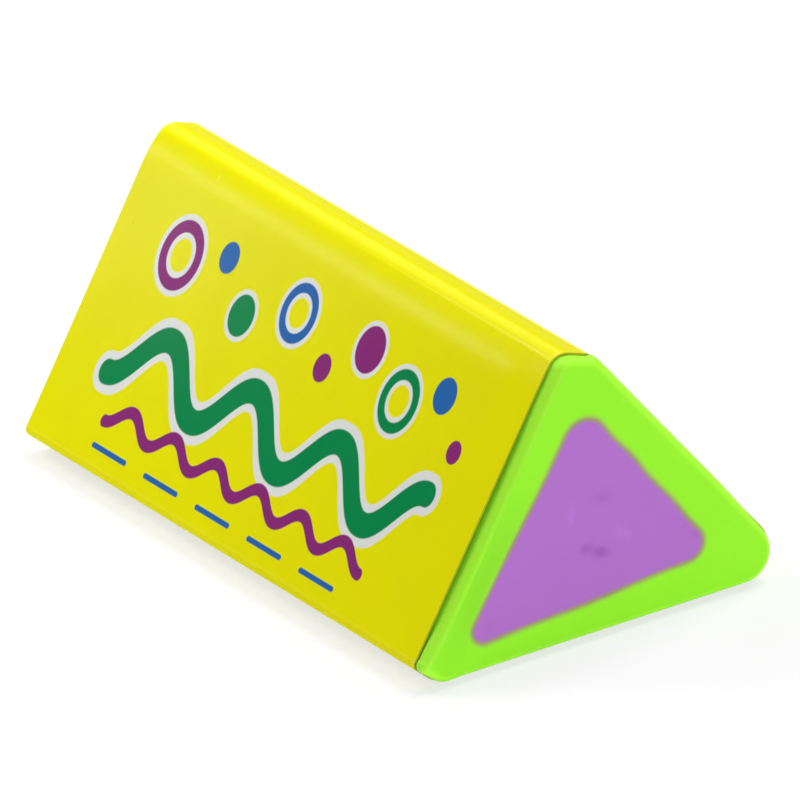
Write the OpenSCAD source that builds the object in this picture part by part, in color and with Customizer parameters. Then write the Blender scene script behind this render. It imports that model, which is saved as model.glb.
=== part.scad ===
// Triangular two-colour eraser in a folded card sleeve.
// It lies on its wide base: X runs along the eraser, -Y is the printed front, +Z is up.

/* [Eraser] */
// Width of the base face, before its corners are rounded
eraser_w = 25.2; // [21:0.1:30]
// Height from the base face to the top corner, before it is rounded
eraser_h = 17.9; // [15:0.1:22]
// Length from end to end
eraser_len = 45; // [36:0.5:60]
// Rounding of the long corner under the front foot
front_r = 1.3; // [1:0.1:2.4]
// Slope of the narrow face that cuts the front foot, in degrees
toe_slope = 43; // [20:1:60]
// Rounding of the long corner in front of that face
toe_r = 0.6; // [0.6:0.05:1]
// Rounding of the long corner at the back foot
back_r = 1.8; // [1:0.1:2.4]
// How far the narrow ridge face lies below the top corner
ridge_cut = 1.29; // [1:0.01:2]
// Lean of the ridge face towards the back, in degrees
ridge_lean = 19; // [10:1:28]
// Rounding of the long corner in front of the ridge face
crest_front_r = 1; // [0.7:0.05:1.3]
// Rounding of the long corner behind the ridge face
crest_back_r = 0.85; // [0.7:0.05:1.2]
// Rounding of the edges round both ends
rim_r = 0.5; // [0.2:0.05:0.6]
// How far the near end stands out of the sleeve
proud = 1; // [0:0.1:6]

/* [Core] */
// Thickness of the outer layer in front of the core's front foot
front_wall_foot = 1.8; // [1.2:0.05:3]
// Thickness of the outer layer in front of the core's top
front_wall_top = 2.3; // [1.2:0.05:3]
// Thickness of the outer layer behind the core's back foot
back_wall_foot = 2.7; // [1.2:0.05:3]
// Thickness of the outer layer behind the core's top
back_wall_top = 2.3; // [1.2:0.05:3]
// Thickness of the outer layer under the core's front foot
base_wall_front = 1.55; // [1.2:0.05:3]
// Thickness of the outer layer under the core's back foot
base_wall_back = 2.7; // [1.2:0.05:3]
// Rounding of the core's front foot
core_front_r = 0.75; // [0.3:0.05:1.2]
// Rounding of the core's back foot
core_back_r = 1.05; // [0.3:0.05:1.5]
// Rounding of the core's top
core_top_r = 1.4; // [0.5:0.05:2]
// How far the sides of the core wander from straight
core_wave = 0.04; // [0:0.01:0.2]

/* [Sleeve] */
// Length of the sleeve along the eraser
sleeve_len = 45; // [20:0.5:56]
// Thickness of the card
card = 0.12; // [0.08:0.01:0.3]
// Gap between the card and the eraser that slides in it
slide_gap = 0.04; // [0.02:0.01:0.2]

/* [Seam] */
// Width of the glue flap that lies inside the base panel
flap_w = 9; // [6:0.5:11]
// How far the base panel's free edge stays back from the front foot's fold
seam_back = 0.8; // [0.3:0.1:1.5]
// Thickness of the glue film
glue = 0.02; // [0.01:0.01:0.06]
// Bare border round the glue film
glue_margin = 1.2; // [0.5:0.1:2]

/* [Hidden] */

// Facets of a full round on the eraser, and steps along a rim, an outline's corner and a side of the core.
round_fn = 32;
rim_steps = 6;
corner_steps = 10;
side_steps = 15;
// Half waves along the core's base, back and front. A minus starts inwards.
base_waves = -3;
back_waves = -5;
front_waves = -2;
// Overshoot of a cut through an end face.
cut_over = 1;

// Slope of the two slanted faces.
half_w = eraser_w / 2;
slope = atan2(eraser_h, half_w);

// Heights above the table: base panel, glue, flap, gap, eraser.
flap_z = card + glue;
eraser_z = flap_z + card + slide_gap;

// The circle that touches both slanted faces and the ridge face, by its middle's height and its radius.
top_drop = ridge_cut / (cos(ridge_lean) - cos(slope));
top_z = eraser_z + eraser_h - top_drop;
top_r = top_drop * cos(slope);

// Corner of two planes that both lie out from that circle's middle, leaning by the angles a and b.
function ridge_corner(out, a, b) = [0, top_z] + out / cos((a - b) / 2) * heading(90 - (a + b) / 2);

// Ways that the front, the base and the narrow face between them look.
front_way = 90 + slope;
base_way = 270;
toe_way = base_way - toe_slope;

// Corner of two planes that look the ways a and b and lie out from the middle of the front foot's rod.
foot_mid = [front_r / tan(slope / 2) - half_w, eraser_z + front_r];
function foot_corner(out, a, b) = foot_mid + out / cos((b - a) / 2) * heading((a + b) / 2);
toe_mid = foot_corner(front_r - toe_r, front_way, toe_way);

// The corner rods of the eraser's section, each as [y, z, radius].
function crest_rod(r, a, b) = concat(ridge_corner(top_r - r, a, b), r);
rods = [
    concat(foot_mid, front_r),
    concat(toe_mid, toe_r),
    [half_w - back_r / tan(slope / 2), eraser_z + back_r, back_r],
    crest_rod(crest_back_r, slope, ridge_lean),
    crest_rod(crest_front_r, ridge_lean, -slope)
];

// Outer face of the card, measured out from the eraser's skin, and the fold wrapped round its back foot.
skin_off = slide_gap + card;
back_fold = back_r + skin_off;

// Distance from the middle to a plane that lies off outside a slanted face of the eraser, at height z.
function slant_y(off, z) = half_w - (z - eraser_z) / tan(slope) + off / sin(slope);

// How far a round of radius r at a foot stays inside its sharp corner.
function foot_loss(r) = r / tan(slope / 2) - r;

// The part's origin is under the middle of its box.
far_x = min(-sleeve_len, proud - eraser_len);
near_x = max(0, proud);
mid_x = (far_x + near_x) / 2;
front_y = toe_mid[0] - toe_r - skin_off;
back_y = slant_y(skin_off, 0) - foot_loss(back_fold);
mid_y = (front_y + back_y) / 2;

function unit(v) = v / norm(v);
function heading(angle) = [cos(angle), sin(angle)];

// Points of the round of radius r that replaces corner p between the points before and after it.
function corner_arc(before, p, after, r) =
    let (
        u = unit(before - p),
        v = unit(after - p),
        half = acos(u * v) / 2,
        middle = p + unit(u + v) * r / sin(half),
        sweep = 180 - 2 * half,
        start = p + u * r / tan(half) - middle,
        from = atan2(start[1], start[0])
    )
    [for (i = [0:corner_steps]) middle + r * heading(from + sweep * i / corner_steps)];

// Points from a to b, ends left out, that stray sideways by core_wave in n half waves.
function wavy_side(a, b, n) =
    let (out = unit([b[1] - a[1], a[0] - b[0]]))
    [
        for (i = [1:side_steps - 1])
            let (s = i / side_steps)
            a + (b - a) * s + out * core_wave * sin(180 * n * s)
    ];

// Corners of the core before rounding, from the walls round it.
core_front_z = eraser_z + base_wall_front;
core_back_z = eraser_z + base_wall_back;
core_front = [-slant_y(-front_wall_foot, core_front_z), core_front_z];
core_back = [slant_y(-back_wall_foot, core_back_z), core_back_z];
core_top = [
    (front_wall_top - back_wall_top) / 2 / sin(slope),
    eraser_z + eraser_h - (front_wall_top + back_wall_top) / 2 / cos(slope)
];

// Closed outline of the core: rounded corners and sides that wander a little.
front_arc = corner_arc(core_top, core_front, core_back, core_front_r);
back_arc = corner_arc(core_front, core_back, core_top, core_back_r);
top_arc = corner_arc(core_back, core_top, core_front, core_top_r);
core_outline = concat(
    front_arc, wavy_side(front_arc[corner_steps], back_arc[0], base_waves),
    back_arc, wavy_side(back_arc[corner_steps], top_arc[0], back_waves),
    top_arc, wavy_side(top_arc[corner_steps], front_arc[0], front_waves)
);

// One face of the folded card, depth inside its outer face: base, back, ridge, front, toe and flap.
seam_y = foot_mid[0] + seam_back;
flap_end = foot_mid[0] + flap_w;
function card_face(depth) =
    let (
        off = skin_off - depth,
        start = [seam_y, depth],
        back_foot = [slant_y(off, depth), depth],
        back_crease = ridge_corner(top_r + off, slope, ridge_lean),
        front_crease = ridge_corner(top_r + off, ridge_lean, -slope),
        toe = foot_corner(front_r + off, front_way, toe_way),
        front_foot = foot_corner(front_r + off, toe_way, base_way),
        end = [flap_end, flap_z + depth]
    )
    concat(
        [start],
        corner_arc(start, back_foot, back_crease, back_fold - depth),
        corner_arc(back_foot, back_crease, front_crease, crest_back_r + off),
        corner_arc(back_crease, front_crease, toe, crest_front_r + off),
        corner_arc(front_crease, toe, front_foot, toe_r + off),
        corner_arc(toe, front_foot, end, front_r + off),
        [end]
    );

function reversed(list) = [for (i = [len(list) - 1:-1:0]) list[i]];

// Extrudes a (y, z) section along X from x by length.
module along_x(x, length) {
    translate([x - mid_x, -mid_y, 0])
        rotate([90, 0, 90])
            linear_extrude(length)
                children();
}

// Rod along X of radius r with both end edges rounded.
module corner_rod(r) {
    rim = [for (i = [0:rim_steps]) rim_r * [sin(90 * i / rim_steps), 1 - cos(90 * i / rim_steps)]];
    half_section = concat(
        [[0, 0]],
        [for (p = rim) [r - rim_r + p[0], p[1]]],
        [for (p = reversed(rim)) [r - rim_r + p[0], eraser_len - p[1]]],
        [[0, eraser_len]]
    );
    rotate([90, 0, 90])
        rotate_extrude($fn = round_fn)
            polygon(half_section);
}

// The whole eraser bar, drawn round its five corner rods.
module eraser_bar() {
    hull() {
        for (rod = rods) {
            translate([proud - eraser_len - mid_x, rod[0] - mid_y, rod[1]])
                corner_rod(rod[2]);
        }
    }
}

// Green outer layer, open at both ends where the core shows.
module outer_layer() {
    color("#97f232")
        difference() {
            eraser_bar();
            along_x(proud - eraser_len - cut_over, eraser_len + 2 * cut_over)
                polygon(core_outline);
        }
}

// Purple core, bonded into the outer layer from end to end.
module core() {
    color("#b274cb")
        along_x(proud - eraser_len, eraser_len)
            polygon(core_outline);
}

// One strip of card, folded five times, its flap tucked inside the base panel.
module card_sleeve() {
    color("#ded90c")
        along_x(-sleeve_len, sleeve_len)
            polygon(concat(card_face(0), reversed(card_face(card))));
}

// Film of glue that holds the flap to the base panel.
module flap_glue() {
    color("#efe9d2")
        translate([glue_margin - sleeve_len - mid_x, seam_y + glue_margin - mid_y, card])
            cube([sleeve_len - 2 * glue_margin, flap_end - seam_y - 2 * glue_margin, glue]);
}

outer_layer();
core();
card_sleeve();
flap_glue();
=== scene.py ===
"""Looks of the triangular eraser in its folded card sleeve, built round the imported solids.

Sizes are in millimetres until a mesh is made. X runs along the eraser towards the end that stands out of
the sleeve, -Y is the printed front and +Z is up.
"""

import functools
import logging
import math
from collections.abc import Iterable, Mapping, Sequence
from dataclasses import dataclass, field
from enum import Enum
from typing import NamedTuple

import bmesh
import bpy
import numpy as np
from mathutils import Matrix, Vector, geometry, noise


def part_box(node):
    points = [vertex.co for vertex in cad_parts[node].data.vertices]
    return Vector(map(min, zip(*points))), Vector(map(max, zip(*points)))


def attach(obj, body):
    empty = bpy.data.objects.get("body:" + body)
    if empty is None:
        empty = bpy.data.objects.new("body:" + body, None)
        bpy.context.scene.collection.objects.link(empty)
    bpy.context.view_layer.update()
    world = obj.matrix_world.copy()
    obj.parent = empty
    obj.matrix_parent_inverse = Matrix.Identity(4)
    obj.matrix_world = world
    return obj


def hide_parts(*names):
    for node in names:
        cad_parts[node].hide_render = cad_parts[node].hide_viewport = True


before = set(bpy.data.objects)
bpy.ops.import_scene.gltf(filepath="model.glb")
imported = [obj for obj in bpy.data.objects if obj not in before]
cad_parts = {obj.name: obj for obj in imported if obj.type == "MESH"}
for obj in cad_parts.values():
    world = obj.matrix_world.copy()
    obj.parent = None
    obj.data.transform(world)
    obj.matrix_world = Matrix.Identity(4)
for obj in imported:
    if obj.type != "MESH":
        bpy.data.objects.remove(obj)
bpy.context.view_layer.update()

logger = logging.getLogger("eraser")

MM = 0.001
SHARP_ANGLE = math.radians(40)

# Noise between these turns from one tone to another. The rest place the rubbed streaks and their patches.
TONE_BAND = (0.3, 0.7)
STREAK_BAND = (0.52, 0.7)
PATCHES_PER_MM = 0.16
PATCH_LIMIT = 0.8
PATCH_EDGE = 0.15

Socket = bpy.types.NodeSocket
Feed = Socket | float | Sequence[float]
Rgba = tuple[float, float, float, float]


class Paint(Enum):
    """Colours of the rubbers, the card, its inks and the studio, as red, green and blue from 0 to 255."""

    LIME = (151, 245, 22)
    LILAC = (178, 110, 204)
    JOINT = (163, 150, 108)
    YELLOW = (246, 240, 2)
    LEAF_INK = (8, 141, 78)
    PLUM_INK = (143, 46, 124)
    BLUE_INK = (44, 108, 182)
    WHITE_INK = (236, 238, 234)
    BOARD = (226, 222, 210)
    PULP = (236, 232, 170)
    EDGE = (190, 182, 30)
    GLUE = (239, 233, 210)
    FLOOR = (252, 252, 252)
    WHITE = (255, 255, 255)

    @property
    def rgba(self) -> Rgba:
        """The colour as a shader takes it.

        Returns:
            Linear red, green and blue from 0 to 1, and 1 for a solid colour.
        """
        share = [value / 255 for value in self.value]
        red, green, blue = (c / 12.92 if c <= 0.04045 else ((c + 0.055) / 1.055) ** 2.4 for c in share)
        return red, green, blue, 1.0

    def toned(self, gain: float, power: float = 1.0, lift: float = 0.0) -> Rgba:
        """The colour times a gain, to a power and lifted, each part 1 at most."""
        red, green, blue = (min(1.0, (c * gain) ** power + lift) for c in self.rgba[:3])
        return red, green, blue, 1.0


def heading(angle: float) -> Vector:
    """Unit vector in the section's plane at an angle in radians from +Y towards +Z."""
    return Vector((math.cos(angle), math.sin(angle)))


def smooth(value: float, low: float, high: float) -> float:
    """Smooth step from 0 at low to 1 at high."""
    share = min(1.0, max(0.0, (value - low) / (high - low)))
    return share * share * (3 - 2 * share)


class Graph:
    """Adds and joins the nodes of one node tree."""

    def __init__(self, tree: bpy.types.NodeTree) -> None:
        """Keeps the tree that the nodes go into."""
        self.tree = tree

    def add(
        self, kind: str, inputs: Mapping[str | int, Feed] | None = None, **settings: object
    ) -> bpy.types.Node:
        """Adds a node.

        Args:
            kind: Blender's name of the node type.
            inputs: What feeds each input, a socket or a plain value.
            **settings: Properties of the node, set before its inputs are fed.

        Returns:
            The new node.
        """
        node = self.tree.nodes.new(kind)
        for name, value in settings.items():
            setattr(node, name, value)
        for key, value in (inputs or {}).items():
            self.feed(node.inputs[key], value)
        return node

    def feed(self, socket: Socket, value: Feed) -> None:
        """Joins a socket to another one, or sets its plain value.

        Args:
            socket: Socket to feed.
            value: The other socket, or the value.
        """
        if isinstance(value, Socket):
            self.tree.links.new(value, socket)
        else:
            socket.default_value = value

    def math(self, operation: str, *values: Feed) -> Socket:
        """Result of a Math node."""
        return self.add("ShaderNodeMath", dict(enumerate(values)), operation=operation).outputs[0]

    def vector(self, operation: str, *values: Feed, output: str = "Vector") -> Socket:
        """Result of a Vector Math node."""
        node = self.add("ShaderNodeVectorMath", dict(enumerate(values)), operation=operation)
        return node.outputs[output]

    def scaled(self, vector: Socket, size: Feed) -> Socket:
        """A vector times a number."""
        node = self.add("ShaderNodeVectorMath", {"Vector": vector, "Scale": size}, operation="SCALE")
        return node.outputs["Vector"]

    def mix(self, share: Feed, first: Feed, second: Feed) -> Socket:
        """Colour between two colours: the first at share 0, the second at share 1."""
        node = self.add("ShaderNodeMix", {0: share, 6: first, 7: second}, data_type="RGBA")
        return node.outputs[2]

    def over(self, mask: Socket, share: float, colour: Feed, other: Feed) -> Socket:
        """A colour with a share of another one over it where a mask is 1."""
        return self.mix(self.math("MULTIPLY", mask, share), colour, other)

    def band(self, value: Feed, low: Feed, high: Feed, start: Feed = 0.0, end: Feed = 1.0) -> Socket:
        """Smooth step of a value from start at low to end at high."""
        sides = {"Value": value, "From Min": low, "From Max": high, "To Min": start, "To Max": end}
        return self.add("ShaderNodeMapRange", sides, interpolation_type="SMOOTHSTEP").outputs[0]

    def noise(self, place: Socket, scale: Feed, detail: float = 2.0, roughness: float = 0.5) -> Socket:
        """Noise from 0 to 1 with that many waves in a millimetre."""
        inputs = {"Vector": place, "Scale": scale, "Detail": detail, "Roughness": roughness}
        return self.add("ShaderNodeTexNoise", inputs).outputs[0]

    def place(self) -> Socket:
        """Point on the piece in millimetres."""
        return self.scaled(self.add("ShaderNodeTexCoord").outputs["Object"], 1 / MM)

    def value_of(self, name: str) -> Socket:
        """Number that the mesh keeps under a name."""
        return self.add("ShaderNodeAttribute", attribute_name=name).outputs["Fac"]

    def vector_of(self, name: str) -> Socket:
        """Vector that the mesh keeps under a name."""
        return self.add("ShaderNodeAttribute", attribute_name=name).outputs["Vector"]

    def group(self, tree: bpy.types.NodeTree, **inputs: Feed) -> bpy.types.Node:
        """Places a node group. Inputs are named with _ for a space."""
        named = {name.replace("_", " "): value for name, value in inputs.items()}
        return self.add("ShaderNodeGroup", named, node_tree=tree)

    def bump(self, height: Socket, depth: float, strength: float = 1.0) -> Socket:
        """Normal of a surface that a height from 0 to 1 lifts by depth millimetres."""
        inputs = {"Height": height, "Distance": depth * MM, "Strength": strength}
        return self.add("ShaderNodeBump", inputs).outputs[0]


class Kind(Enum):
    """Kinds of socket on a node group."""

    NUMBER = "NodeSocketFloat"
    VECTOR = "NodeSocketVector"
    COLOUR = "NodeSocketColor"


class GroupTree:
    """A node group while its nodes are being placed."""

    def __init__(self, name: str, inputs: Mapping[str, Kind], outputs: Mapping[str, Kind]) -> None:
        """Makes the group and its sockets.

        Args:
            name: Name of the group.
            inputs: Its inputs and their kinds.
            outputs: Its outputs and their kinds.
        """
        self.tree = bpy.data.node_groups.new(name, "ShaderNodeTree")
        for title, kind in inputs.items():
            self.tree.interface.new_socket(title, in_out="INPUT", socket_type=kind.value)
        for title, kind in outputs.items():
            self.tree.interface.new_socket(title, in_out="OUTPUT", socket_type=kind.value)
        self.graph = Graph(self.tree)
        self.source = self.graph.add("NodeGroupInput").outputs
        self.result = self.graph.add("NodeGroupOutput").inputs

    def finish(self, **results: Socket) -> bpy.types.NodeTree:
        """Joins the outputs.

        Args:
            **results: What feeds each output.

        Returns:
            The finished group.
        """
        for name, socket in results.items():
            self.graph.feed(self.result[name], socket)
        return self.tree


@functools.cache
def grain_group() -> bpy.types.NodeTree:
    """Makes the fine height and broad tone of every surface that isn't quite even.

    Returns:
        The group.
    """
    made = GroupTree(
        "uneven_grain",
        {"Place": Kind.VECTOR, "Fine": Kind.NUMBER, "Broad": Kind.NUMBER},
        {"Height": Kind.NUMBER, "Tone": Kind.NUMBER},
    )
    g, source = made.graph, made.source
    height = g.noise(source["Place"], source["Fine"], detail=4.0, roughness=0.6)
    tone = g.band(g.noise(source["Place"], source["Broad"], detail=2.0), *TONE_BAND)
    return made.finish(Height=height, Tone=tone)


@functools.cache
def scuff_group() -> bpy.types.NodeTree:
    """Makes a mask of short rubbed streaks in a few patches.

    Returns:
        The group.
    """
    made = GroupTree(
        "rubbed_streaks",
        {"Place": Kind.VECTOR, "Stretch": Kind.VECTOR, "Cover": Kind.NUMBER},
        {"Mask": Kind.NUMBER},
    )
    g, source = made.graph, made.source
    streaks = g.noise(g.vector("MULTIPLY", source["Place"], source["Stretch"]), 1.0, detail=3.0)
    patches = g.noise(source["Place"], PATCHES_PER_MM, detail=1.0)
    limit = g.math("SUBTRACT", PATCH_LIMIT, source["Cover"])
    shown = g.band(patches, limit, g.math("ADD", limit, PATCH_EDGE))
    return made.finish(Mask=g.math("MULTIPLY", g.band(streaks, *STREAK_BAND), shown))


@functools.cache
def speck_group() -> bpy.types.NodeTree:
    """Makes a mask of scattered specks: crumbs on rubber, flaws in ink, bubbles in glue.

    Returns:
        The group.
    """
    made = GroupTree(
        "scattered_specks",
        {"Place": Kind.VECTOR, "Per mm": Kind.NUMBER, "Size": Kind.NUMBER, "Share": Kind.NUMBER},
        {"Mask": Kind.NUMBER},
    )
    g, source = made.graph, made.source
    cells = g.add("ShaderNodeTexVoronoi", {"Vector": source["Place"], "Scale": source["Per mm"]})
    pick = g.add("ShaderNodeSeparateColor", {0: cells.outputs["Color"]}).outputs[0]
    chosen = g.math("LESS_THAN", pick, source["Share"])
    spot = g.band(cells.outputs["Distance"], 0.0, source["Size"], 1.0, 0.0)
    return made.finish(Mask=g.math("MULTIPLY", chosen, spot))


@functools.cache
def bond_group() -> bpy.types.NodeTree:
    """Makes a rubber run into the dull line where it is bonded to another.

    Returns:
        The group.
    """
    made = GroupTree(
        "bonded_colours",
        {"Own": Kind.COLOUR, "Joint": Kind.COLOUR, "Gap": Kind.NUMBER, "Reach": Kind.NUMBER},
        {"Colour": Kind.COLOUR},
    )
    g, source = made.graph, made.source
    near = g.band(source["Gap"], 0.0, source["Reach"], 1.0, 0.0)
    share = g.math("MULTIPLY", near, near)
    return made.finish(Colour=g.mix(share, source["Own"], source["Joint"]))


@functools.cache
def dot_group() -> bpy.types.NodeTree:
    """Makes the mask of a printed dot, or of a ring where Radius isn't 0.

    Returns:
        The group.
    """
    numbers = ("Radius", "Line", "Soft")
    made = GroupTree(
        "printed_dot",
        {"Place": Kind.VECTOR, "Middle": Kind.VECTOR, **dict.fromkeys(numbers, Kind.NUMBER)},
        {"Mask": Kind.NUMBER},
    )
    g, source = made.graph, made.source
    away = g.vector("DISTANCE", source["Place"], source["Middle"], output="Value")
    rim = g.math("ABSOLUTE", g.math("SUBTRACT", away, source["Radius"]))
    low = g.math("SUBTRACT", source["Line"], source["Soft"])
    high = g.math("ADD", source["Line"], source["Soft"])
    return made.finish(Mask=g.band(rim, low, high, 1.0, 0.0))


@functools.cache
def wave_group() -> bpy.types.NodeTree:
    """Makes the mask of a printed wavy line with round ends.

    Returns:
        The group.
    """
    numbers = ("Level", "Swing", "Turn", "Half", "Start", "End", "Soft")
    made = GroupTree(
        "printed_wave",
        {"Place": Kind.VECTOR, **dict.fromkeys(numbers, Kind.NUMBER)},
        {"Mask": Kind.NUMBER},
    )
    g, source = made.graph, made.source
    spot = g.add("ShaderNodeSeparateXYZ", {0: source["Place"]}).outputs
    along = g.add("ShaderNodeClamp", {0: spot["X"], 1: source["Start"], 2: source["End"]}).outputs[0]
    phase = g.math("MULTIPLY", g.math("SUBTRACT", along, source["Start"]), source["Turn"])
    middle = g.math("ADD", source["Level"], g.math("MULTIPLY", source["Swing"], g.math("COSINE", phase)))
    rise = g.math("MULTIPLY", g.math("MULTIPLY", source["Swing"], source["Turn"]), g.math("SINE", phase))
    lean = g.math("SQRT", g.math("ADD", g.math("MULTIPLY", rise, rise), 1.0))
    across = g.math("DIVIDE", g.math("SUBTRACT", spot["Y"], middle), lean)
    beyond = g.math("SUBTRACT", spot["X"], along)
    squares = g.math("ADD", g.math("MULTIPLY", across, across), g.math("MULTIPLY", beyond, beyond))
    away = g.math("SQRT", squares)
    low = g.math("SUBTRACT", source["Half"], source["Soft"])
    high = g.math("ADD", source["Half"], source["Soft"])
    return made.finish(Mask=g.band(away, low, high, 1.0, 0.0))


@dataclass(frozen=True)
class Mark:
    """One printed mark on the front panel, in millimetres from the panel's upper far corner.

    Attributes:
        ink: Colour of the mark.
        border: Width of the white line round it.
    """

    ink: Paint
    border: float = 0.0

    SOFT = 0.05

    def mask(self, graph: Graph, place: Socket, grow: float) -> Socket:
        """Mask of the mark, grown by some millimetres."""
        raise NotImplementedError

    def lay(self, graph: Graph, place: Socket, colour: Socket) -> Socket:
        """Prints the mark over a colour.

        Args:
            graph: Graph of the printed material.
            place: Point on the unfolded card.
            colour: Colour under the mark.

        Returns:
            The colour with the mark on it.
        """
        if self.border:
            colour = graph.mix(self.mask(graph, place, self.border), colour, Paint.WHITE_INK.rgba)
        return graph.mix(self.mask(graph, place, 0.0), colour, self.ink.rgba)


@dataclass(frozen=True)
class Dot(Mark):
    """A printed dot, or a ring where line is set.

    Attributes:
        along: Place along the sleeve.
        down: Place down the panel.
        radius: Outside radius.
        line: Width of a ring's line, 0 for a full dot.
    """

    along: float = 0.0
    down: float = 0.0
    radius: float = 1.0
    line: float = 0.0

    def mask(self, graph: Graph, place: Socket, grow: float) -> Socket:
        """Mask of the dot.

        Args:
            graph: Graph of the printed material.
            place: Point on the unfolded card.
            grow: How far it is grown, in millimetres.

        Returns:
            1 inside the dot and 0 outside it.
        """
        middle_line = self.radius - self.line / 2 if self.line else 0.0
        half = (self.line / 2 if self.line else self.radius) + grow
        inputs = {"Place": place, "Middle": (self.along, self.down, 0.0), "Radius": middle_line}
        node = graph.group(dot_group(), **inputs, Line=half, Soft=self.SOFT)
        return node.outputs["Mask"]


@dataclass(frozen=True)
class Wave(Mark):
    """A printed wavy line with round ends, straight where its swing is 0.

    Attributes:
        level: Place of its middle line down the panel.
        start: Place of its first end along the sleeve.
        end: Place of its last end along the sleeve.
        width: Width of the line.
        swing: How far it swings from its middle line.
        length: Length of one wave.
    """

    level: float = 0.0
    start: float = 0.0
    end: float = 0.0
    width: float = 1.0
    swing: float = 0.0
    length: float = 10.0

    def mask(self, graph: Graph, place: Socket, grow: float) -> Socket:
        """Mask of the line.

        Args:
            graph: Graph of the printed material.
            place: Point on the unfolded card.
            grow: How far it is grown, in millimetres.

        Returns:
            1 inside the line and 0 outside it.
        """
        run = {"Level": self.level, "Start": self.start, "End": self.end}
        bend = {"Swing": self.swing, "Turn": 2 * math.pi / self.length}
        half = self.width / 2 + grow
        node = graph.group(wave_group(), Place=place, **run, **bend, Half=half, Soft=self.SOFT)
        return node.outputs["Mask"]


PANEL_PRINT: tuple[Mark, ...] = (
    Wave(Paint.LEAF_INK, 0.5, level=11.4, start=5.2, end=39.5, width=1.5, swing=1.7, length=9.8),
    Wave(Paint.PLUM_INK, level=15.0, start=7.0, end=36.4, width=0.75, swing=0.6, length=4.9),
    *(
        Wave(Paint.BLUE_INK, level=17.1, start=first, end=first + 3.6, width=0.34)
        for first in (7, 13, 19, 25, 31)
    ),
    Dot(Paint.PLUM_INK, 0.35, along=7.4, down=5.2, radius=2.1, line=0.75),
    Dot(Paint.BLUE_INK, along=12.0, down=3.9, radius=0.95),
    Dot(Paint.LEAF_INK, 0.3, along=15.4, down=6.4, radius=1.25),
    Dot(Paint.BLUE_INK, 0.3, along=20.6, down=4.6, radius=1.8, line=0.6),
    Dot(Paint.PLUM_INK, along=24.9, down=6.6, radius=0.85),
    Dot(Paint.PLUM_INK, 0.3, along=28.6, down=4.3, radius=1.4),
    Dot(Paint.LEAF_INK, 0.3, along=33.2, down=6.0, radius=1.9, line=0.65),
    Dot(Paint.BLUE_INK, along=37.2, down=4.4, radius=1.1),
    Dot(Paint.PLUM_INK, along=40.2, down=6.9, radius=0.7),
)


@dataclass(frozen=True)
class Finish:
    """A material with its own name.

    Attributes:
        name: Name of the material.
    """

    name: str

    def material(self) -> bpy.types.Material:
        """Makes the material.

        Returns:
            The material, its shader fed.
        """
        made = bpy.data.materials.new(self.name)
        made.use_nodes = True
        made.node_tree.nodes.clear()
        graph = Graph(made.node_tree)
        shader = graph.add("ShaderNodeBsdfPrincipled")
        self.paint(graph, shader)
        graph.add("ShaderNodeOutputMaterial", {"Surface": shader.outputs[0]})
        return made

    def paint(self, graph: Graph, shader: bpy.types.Node) -> None:
        """Feeds the material's Principled shader."""
        raise NotImplementedError


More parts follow.
